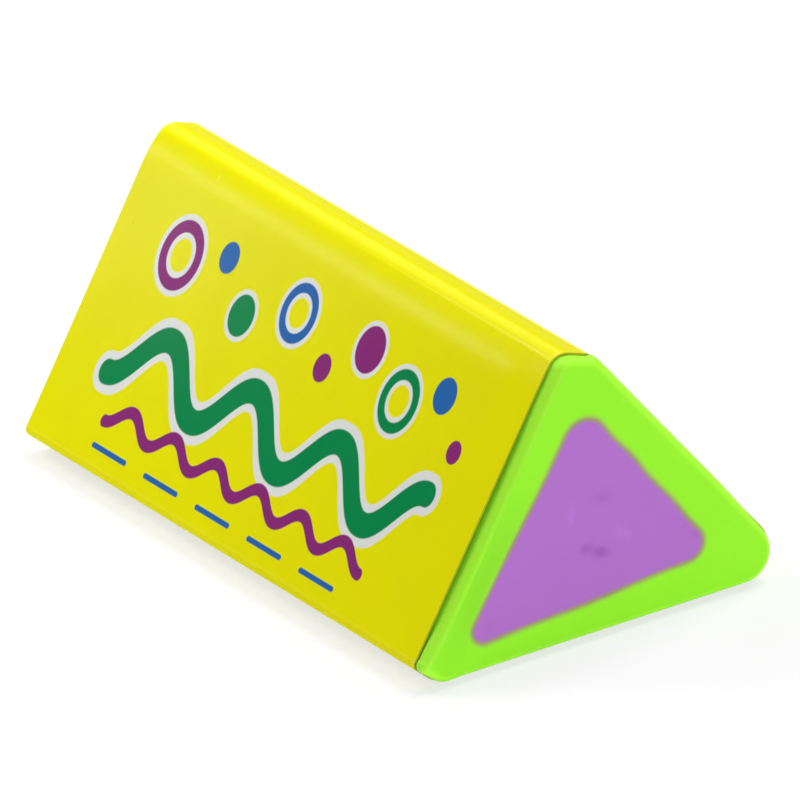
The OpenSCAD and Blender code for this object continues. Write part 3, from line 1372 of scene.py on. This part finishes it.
                # Painted highlight: the near rim that stands out of the sleeve is made paler where light
                # would catch it.
                skin.keep("smudge_and_painted_light", ring[-1], self.rubbed(x, inset))
            skin.bridge(before, ring)
            before = ring
        skin.bridge(before, last)
        return skin

    def rubbed(self, x: float, inset: float) -> float:
        """Painted highlight on the rim that stands out of the sleeve, from 0 to 1: it is made paler as if
        lit.
        """
        outside = smooth(x, self.mouth - self.SWELL_LENGTH, self.mouth)
        return outside * (1 - smooth(inset / self.rim, self.RIM_HIGHLIGHT_SHARE, 1.0))

    def ring_places(self) -> list[tuple[float, float]]:
        """Finds the places of the rings between the end faces.

        Returns:
            The place of each along the bar and how far it lies inside the bar's skin.
        """
        far, near = self.ends[0].x, self.ends[1].x
        turns = [math.pi / 2 * i / self.rim_steps for i in range(1, self.rim_steps + 1)]
        rim = [(self.rim * (1 - math.cos(turn)), self.rim * (1 - math.sin(turn))) for turn in turns]
        count = round((near - far) / self.length_step)
        start, end = far + self.rim, near - self.rim
        even = [start + (end - start) * i / count for i in range(1, count)]
        steps = self.MOUTH_STEPS
        mouth = [self.mouth + self.SWELL_LENGTH * i / steps for i in range(steps + 1)]
        clear = [x for x in even if abs(x - self.mouth) > self.SWELL_LENGTH]
        middle = [(x, 0.0) for x in sorted(clear + mouth)]
        return (
            [(far + depth, inset) for depth, inset in rim]
            + middle
            + [(near - depth, inset) for depth, inset in reversed(rim)]
        )

    def core_skin(self) -> Skin:
        """Makes the core: its two end faces and the wall between them.

        Returns:
            Its mesh.
        """
        skin = Skin()
        net = FaceNet.fill(self.core_loop, None, self.joint_rows(-1), self.spacing)
        rows = []
        for end in self.ends:
            indices = self.end_points(skin, end, net, outer=False)
            for triangle in net.triangles:
                skin.face([indices[i] for i in triangle])
            rows.append(indices[:len(self.core_loop)])
        skin.bridge(rows[0], rows[1])
        return skin


class Panel(Enum):
    """Stretches of the folded strip, in order from its free edge under the base."""

    BASE = 0
    BACK = 1
    RIDGE = 2
    FRONT = 3
    TOE = 4
    FLAP = 5


class CardFace(Enum):
    """Faces of the card, each with its material slot."""

    PRINTED = 0
    BARE = 1
    CUT = 2


class Stop(NamedTuple):
    """Point of the folded strip's outer face.

    Attributes:
        at: Place in the section's plane.
        out: Outward direction.
        panel: Panel that it belongs to, or None on a fold.
        share: Place across the panel from 0 to 1.
    """

    at: Vector
    out: Vector
    panel: Panel | None
    share: float


@dataclass
class CardSleeve:
    """One strip of printed card, folded into a tube, with its flap glued inside the base panel.

    Attributes:
        section: Outline of the eraser that it wraps.
        card: Thickness of the card.
        gap: Gap between the card and the eraser.
        bow: How far the front panel bows out below the crease, along the sleeve and at its near end.
        bow_rise: Distance below the crease within which it comes to that.
        toe_fold: Outside radius of the sharp fold at the toe.
        flap: Width of the flap inside the base panel.
        seam_back: How far the base panel's free edge stays back from the front foot.
        film: Thickness of the glue.
        step: Distance between points across a panel.
        fold_steps: Steps of a fold.
        length_step: Distance between rows along the sleeve.
        cut_wander: How uneven the cut ends are.
        far: Place of its far end.
        near: Place of its near end.
    """

    section: Section
    card: float = 0.12
    gap: float = 0.04
    bow: tuple[float, float] = (0.19, 0.06)
    bow_rise: float = 2.0
    toe_fold: float = 0.42
    flap: float = 9.0
    seam_back: float = 0.8
    film: float = 0.02
    step: float = 0.45
    fold_steps: int = 10
    length_step: float = 0.8
    cut_wander: float = 0.015
    far: float = field(init=False)
    near: float = field(init=False)

    WEAR_REACH = 0.5
    FOLD_WEAR = 0.55
    END_WEAR = 0.45
    WANDER_LENGTH = 2.2
    WANDER_SEED = 0.4
    BOW_REACH = 3.5
    BOW_FALL = 1.5
    DULL_REACH = 0.15
    NICK_ALONG = 7.4
    NICK_SIZE = 0.16
    NICK_DEPTH = 0.05
    NICK_ROWS = 5

    def __post_init__(self) -> None:
        """Reads the sleeve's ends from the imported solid."""
        low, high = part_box("card_sleeve")
        self.far, self.near = low.x / MM, high.x / MM

    def build(self) -> list[bpy.types.Object]:
        """Makes the sleeve, and dresses the glue under its flap.

        Returns:
            The sleeve and the glue.
        """
        finishes = (
            PrintedFinish("printed_card", Paint.YELLOW, PANEL_PRINT),
            PaperFinish("card_inside", Paint.BOARD, fibre=2.4),
            PaperFinish("card_cut_edge", Paint.EDGE, fibre=6.0),
        )
        sleeve = self.skin().build("folded_card_sleeve", [finish.material() for finish in finishes])
        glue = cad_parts["flap_glue"]
        glue.data.materials.clear()
        glue.data.materials.append(GlueFinish("dry_glue", Paint.GLUE).material())
        return [dress(sleeve, "sleeve", "card_sleeve"), glue]

    def corners(self) -> tuple[list[Vector], list[float]]:
        """Finds the corners of the strip's outer face.

        Returns:
            The corners and their radii, with plain ends first and last.
        """
        section, skin = self.section, self.gap + self.card
        fold_end = -section.foot_y(section.front_r)
        folds = (
            (Vector((fold_end + self.seam_back, 0.0)), 0.0),
            (Vector((section.slant_y(skin, 0.0), 0.0)), section.back_r + skin),
            (section.ridge_corner(skin, section.slope, section.ridge_lean), section.crest_back_r + skin),
            (section.ridge_corner(skin, section.ridge_lean, -section.slope), section.crest_front_r + skin),
            (section.toe(skin), self.toe_fold),
            (section.foot_corner(skin, section.toe_way, section.BASE_WAY), section.front_r + skin),
            (Vector((fold_end + self.flap, self.card + self.film)), 0.0),
        )
        return [point for point, _ in folds], [radius for _, radius in folds]

    def stops(self) -> list[Stop]:
        """Finds the points of the strip's outer face.

        Returns:
            The points from the free edge under the base to the flap's end.
        """
        points, radii = self.corners()
        middle_line = Vector((self.section.shift, 0.0))
        stops: list[Stop] = []
        start = points[0]
        for i, panel in enumerate(Panel):
            ahead = (points[i + 1] - points[i]).normalized()
            out = Vector((ahead.y, -ahead.x))
            fold: list[Stop] = []
            end = points[i + 1]
            if radii[i + 1]:
                after = (points[i + 2] - points[i + 1]).normalized()
                turn = ahead.angle(after)
                end = points[i + 1] - ahead * radii[i + 1] * math.tan(turn / 2)
                middle = end - out * radii[i + 1]
                first = math.atan2(out.y, out.x)
                for k in range(1, self.fold_steps):
                    way = heading(first + turn * k / self.fold_steps)
                    fold.append(Stop(middle + way * radii[i + 1], way, None, 0.0))
                fold_end = points[i + 1] + after * radii[i + 1] * math.tan(turn / 2)
            count = max(2, round((end - start).length / self.step))
            shares = [k / count for k in range(count + 1)]
            if panel is Panel.FRONT:
                shares = [smooth(share, 0.0, 1.0) for share in shares]
            stops += [Stop(start.lerp(end, share), out, panel, share) for share in shares]
            stops += fold
            start = fold_end
        return [stop._replace(at=stop.at + middle_line) for stop in stops]

    def rows(self) -> list[float]:
        """Finds the places of the rows along the sleeve.

        Returns:
            The places, closer together at the nick in the crease.
        """
        count = round((self.near - self.far) / self.length_step)
        even = [self.far + (self.near - self.far) * i / count for i in range(count + 1)]
        nick = self.far + self.NICK_ALONG
        beside = self.NICK_ROWS + 1
        close = [nick + self.NICK_SIZE * k / 2 for k in range(1 - beside, beside)]
        spread = [x for x in even if abs(x - nick) > self.NICK_SIZE * beside / 2]
        return sorted(spread + close)

    def lift(self, stop: Stop, x: float, below_crease: float) -> float:
        """How far the front panel stands off its flat place.

        Args:
            stop: Point of the strip.
            x: Place along the sleeve.
            below_crease: Distance down the strip from the end of the crease.

        Returns:
            The distance, 0 away from the front panel and the last of the crease above it.
        """
        along, at_end = self.bow
        height = at_end + (along - at_end) * smooth(self.near - x, 0.0, self.BOW_REACH)
        fold = self.section.crest_front_r + self.gap + self.card
        run_in = fold * 2 * height / self.bow_rise
        if stop.panel is None and -run_in < below_crease <= 0.0:
            return (below_crease + run_in) ** 2 / (2 * fold)
        if stop.panel is not Panel.FRONT:
            return 0.0
        rise = 1 - (1 - min(1.0, below_crease / self.bow_rise)) ** 2
        return (run_in**2 / (2 * fold) + height * rise) * (1 - stop.share) ** self.BOW_FALL

    def nick(self, along_strip: float, x: float) -> float:
        """Depth of the small nick in the crease.

        Args:
            along_strip: Distance down the strip from the end of the crease.
            x: Place along the sleeve.

        Returns:
            The depth.
        """
        aside = (x - self.far - self.NICK_ALONG) / self.NICK_SIZE
        down = along_strip / (2 * self.NICK_SIZE)
        return self.NICK_DEPTH * math.exp(-(aside**2) - down**2)

    def skin(self) -> Skin:
        """Makes the folded strip with its printed face, its bare face and its cut edges.

        Returns:
            Its mesh.
        """
        skin = Skin()
        stops = self.stops()
        run = [0.0]
        for before, stop in zip(stops, stops[1:]):
            run.append(run[-1] + (stop.at - before.at).length)
        folds = [place for place, stop in zip(run, stops) if stop.panel is None]
        front = [place for place, stop in zip(run, stops) if stop.panel is Panel.FRONT]
        crease, toe = front[0], front[-1]
        outer, inner = [], []
        for x in self.rows():
            outer_row, inner_row = [], []
            for stop, place in zip(stops, run):
                shift = self.lift(stop, x, place - crease) - self.nick(place - crease, x)
                at = stop.at + shift * stop.out
                end_x = x + self.wander(x, place)
                wear = self.wear(x, min(abs(place - fold) for fold in folds))
                for row, point in ((outer_row, at), (inner_row, at - self.card * stop.out)):
                    index = skin.point(end_x, point.x, point.y)
                    skin.keep("wear", index, wear)
                    skin.keep("dull", index, smooth(place, toe - self.DULL_REACH, toe))
                    skin.keep_vector("sheet", index, Vector((x - self.far, place - crease, 0.0)))
                    row.append(index)
            outer.append(outer_row)
            inner.append(inner_row)
        for rows, face in ((outer, CardFace.PRINTED), (inner, CardFace.BARE)):
            for before, after in zip(rows, rows[1:]):
                skin.bridge(before, after, face.value, closed=False)
        for side in (0, -1):
            skin.bridge(outer[side], inner[side], CardFace.CUT.value, closed=False)
            free_outer, free_inner = ([row[side] for row in rows] for rows in (outer, inner))
            skin.bridge(free_outer, free_inner, CardFace.CUT.value, closed=False)
        return skin

    def wander(self, x: float, place: float) -> float:
        """How far a cut end strays along the sleeve.

        Args:
            x: Place of the row along the sleeve.
            place: Place across the strip.

        Returns:
            The distance, 0 for a row that isn't a cut end.
        """
        if x not in (self.far, self.near):
            return 0.0
        inward = 1 if x == self.far else -1
        uneven = noise.noise(Vector((place / self.WANDER_LENGTH, x, self.WANDER_SEED)))
        return inward * self.cut_wander * (0.5 + 0.5 * uneven)

    def wear(self, x: float, to_fold: float) -> float:
        """How worn the ink is at a point.

        Args:
            x: Place along the sleeve.
            to_fold: Distance to the nearest fold.

        Returns:
            The wear from 0 to 1, most on the folds at the open ends.
        """
        from_end = min(x - self.far, self.near - x)
        at_end = 1 - smooth(from_end, 0.0, self.WEAR_REACH)
        at_fold = 1 - smooth(to_fold, 0.0, self.WEAR_REACH)
        return min(1.0, self.FOLD_WEAR * at_fold + self.END_WEAR * at_end)


@dataclass(frozen=True)
class PhotoView:
    """Camera at the photograph's viewing angle.

    Attributes:
        middle: Place of the part's middle line along Y.
        azimuth: Angle round the part, in degrees, 0 in front of it.
        elevation: Angle above the table, in degrees.
        roll: Turn of the picture, in degrees.
        lens: Focal length.
        sensor: Width of the sensor.
        image: Width and height of the picture, in pixels.
        scale: Pixels in a millimetre at the aim.
        aim_height: Height of the aim above the table, over the middle line.
        aim_pixel: Where the aim lies in the picture.
    """

    middle: float
    azimuth: float = 63.074
    elevation: float = 23.0
    roll: float = -6.74
    lens: float = 1500.0
    sensor: float = 36.0
    image: int = 800
    scale: float = 17.71
    aim_height: float = 6.0
    aim_pixel: tuple[float, float] = (395.31, 416.71)

    CLIP = (0.1, 20.0)

    def build(self) -> bpy.types.Object:
        """Makes the camera and gives it to the scene.

        Returns:
            The camera.
        """
        turn, rise, roll = (math.radians(v) for v in (self.azimuth, self.elevation, self.roll))
        back = Vector((math.sin(turn) * math.cos(rise), -math.cos(turn) * math.cos(rise), math.sin(rise)))
        level = Vector((math.cos(turn), math.sin(turn), 0.0))
        upright = back.cross(level)
        right = math.cos(roll) * level + math.sin(roll) * upright
        up = back.cross(right)
        distance = self.lens / self.sensor * self.image / self.scale
        middle = (self.image - 1) / 2
        aside, below = ((pixel - middle) / self.scale for pixel in self.aim_pixel)
        aim = Vector((0.0, self.middle, self.aim_height))
        place = aim + back * distance - right * aside + up * below
        data = bpy.data.cameras.new("photo_camera")
        data.lens, data.sensor_width = self.lens, self.sensor
        data.clip_start, data.clip_end = self.CLIP
        camera = bpy.data.objects.new("photo_camera", data)
        camera.matrix_world = Matrix.Translation(place * MM) @ Matrix((right, up, back)).transposed().to_4x4()
        bpy.context.scene.collection.objects.link(camera)
        bpy.context.scene.camera = camera
        return camera


@dataclass(frozen=True)
class SoftBox:
    """Soft lamp that faces the part.

    Attributes:
        name: Name of the lamp.
        way: Direction from the part to the lamp.
        size: Its width and height, in metres.
        light: What falls on a surface at the part that faces it, 1 where white looks white.
        distance: Distance from the part, in metres.
    """

    name: str
    way: tuple[float, float, float]
    size: tuple[float, float]
    light: float
    distance: float = 0.6

    def build(self) -> bpy.types.Object:
        """Makes the lamp.

        Returns:
            The lamp, linked to the scene.
        """
        data = bpy.data.lights.new(self.name, "AREA")
        data.shape = "RECTANGLE"
        data.size, data.size_y = self.size
        data.energy = (math.pi * self.distance) ** 2 * self.light
        lamp = bpy.data.objects.new(self.name, data)
        way = Vector(self.way).normalized()
        lamp.location = way * self.distance
        lamp.rotation_mode = "QUATERNION"
        lamp.rotation_quaternion = way.to_track_quat("Z", "Y")
        lamp.visible_camera = False
        bpy.context.scene.collection.objects.link(lamp)
        return lamp


@dataclass(frozen=True)
class Studio:
    """Pale floor, soft lamps and even daylight.

    Attributes:
        lamps: The soft boxes.
        daylight: Brightness of the surroundings.
        floor_size: Half width of the floor, in metres.
        lift: Share of plain white that the floor shows to the eye, the rest being lit with its shadow.
    """

    lamps: tuple[SoftBox, ...] = (
        SoftBox("top_box", (0.0, 0.42, 0.91), (0.4, 0.4), light=0.79),
        SoftBox("right_box", (0.96, -0.1, 0.22), (0.4, 0.3), light=0.46),
        SoftBox("left_box", (-0.51, -0.32, 0.8), (0.08, 0.08), light=0.43, distance=0.17),
        SoftBox("corner_box", (-0.8, 0.24, 0.5), (0.34, 0.2), light=0.05),
        SoftBox("strip_box", (-0.882, -0.353, 0.359), (0.2, 0.036), light=0.028),
        SoftBox("far_box", (-0.838, -0.454, 0.301), (0.015, 0.015), light=0.0062, distance=0.173),
    )
    daylight: float = 0.07
    floor_size: float = 4.0
    lift: float = 0.7

    FLOOR_DROP = 0.02
    TONES_PER_MM = 0.02

    def build(self) -> None:
        """Makes the floor, the lamps and the surroundings."""
        bpy.context.scene.view_settings.view_transform = "Standard"
        self.floor()
        for lamp in self.lamps:
            lamp.build()
        self.surroundings()

    def floor(self) -> bpy.types.Object:
        """Makes the floor, a hair under the part.

        Returns:
            The floor, linked to the scene.
        """
        mesh = bpy.data.meshes.new("pale_floor")
        bm = bmesh.new()
        bmesh.ops.create_grid(bm, x_segments=8, y_segments=8, size=self.floor_size)
        bm.to_mesh(mesh)
        bm.free()
        mesh.materials.append(self.floor_material())
        floor = bpy.data.objects.new("pale_floor", mesh)
        floor.location.z = -self.FLOOR_DROP * MM
        bpy.context.scene.collection.objects.link(floor)
        return floor

    def floor_material(self) -> bpy.types.Material:
        """Makes a white floor that the eye and mirrors see a little whiter than it is lit.

        Returns:
            The material.
        """
        made = bpy.data.materials.new("pale_floor")
        made.use_nodes = True
        made.node_tree.nodes.clear()
        graph = Graph(made.node_tree)
        tone = graph.noise(graph.place(), self.TONES_PER_MM)
        colour = graph.mix(graph.band(tone, *TONE_BAND), Paint.FLOOR.rgba, Paint.WHITE.rgba)
        lit = graph.add("ShaderNodeBsdfDiffuse", {"Color": colour}).outputs[0]
        white = graph.add("ShaderNodeEmission", {"Color": Paint.WHITE.rgba, "Strength": 1.0}).outputs[0]
        share = graph.math("MULTIPLY", self.seen(graph), self.lift)
        mixed = graph.add("ShaderNodeMixShader", {0: share, 1: lit, 2: white}).outputs[0]
        graph.add("ShaderNodeOutputMaterial", {"Surface": mixed})
        return made

    def surroundings(self) -> None:
        """Sets the even daylight."""
        world = bpy.data.worlds.new("white_room")
        world.use_nodes = True
        world.node_tree.nodes.clear()
        graph = Graph(world.node_tree)
        inputs = {"Color": Paint.WHITE.rgba, "Strength": self.daylight}
        light = graph.add("ShaderNodeBackground", inputs).outputs[0]
        graph.add("ShaderNodeOutputWorld", {"Surface": light})
        bpy.context.scene.world = world

    def seen(self, graph: Graph) -> Socket:
        """Tells what the eye, a mirror or glass sees from the light that falls on a surface.

        Args:
            graph: Graph of the floor's material.

        Returns:
            1 for what is seen and 0 for the light.
        """
        path = graph.add("ShaderNodeLightPath").outputs
        direct = graph.math("MAXIMUM", path["Is Camera Ray"], path["Is Glossy Ray"])
        return graph.math("MAXIMUM", direct, path["Is Transmission Ray"])


def main() -> None:
    """Builds the part and its studio in order."""
    logging.basicConfig(level=logging.INFO, format="%(name)s: %(message)s")
    section = Section.from_frame()
    for assembly in (Eraser(section), CardSleeve(section)):
        for piece in assembly.build():
            logger.info("%s: %d faces", piece.name, len(piece.data.polygons))
    PhotoView(section.shift).build()
    Studio().build()
    logger.info("sizes written")


if __name__ == "__main__":
    main()
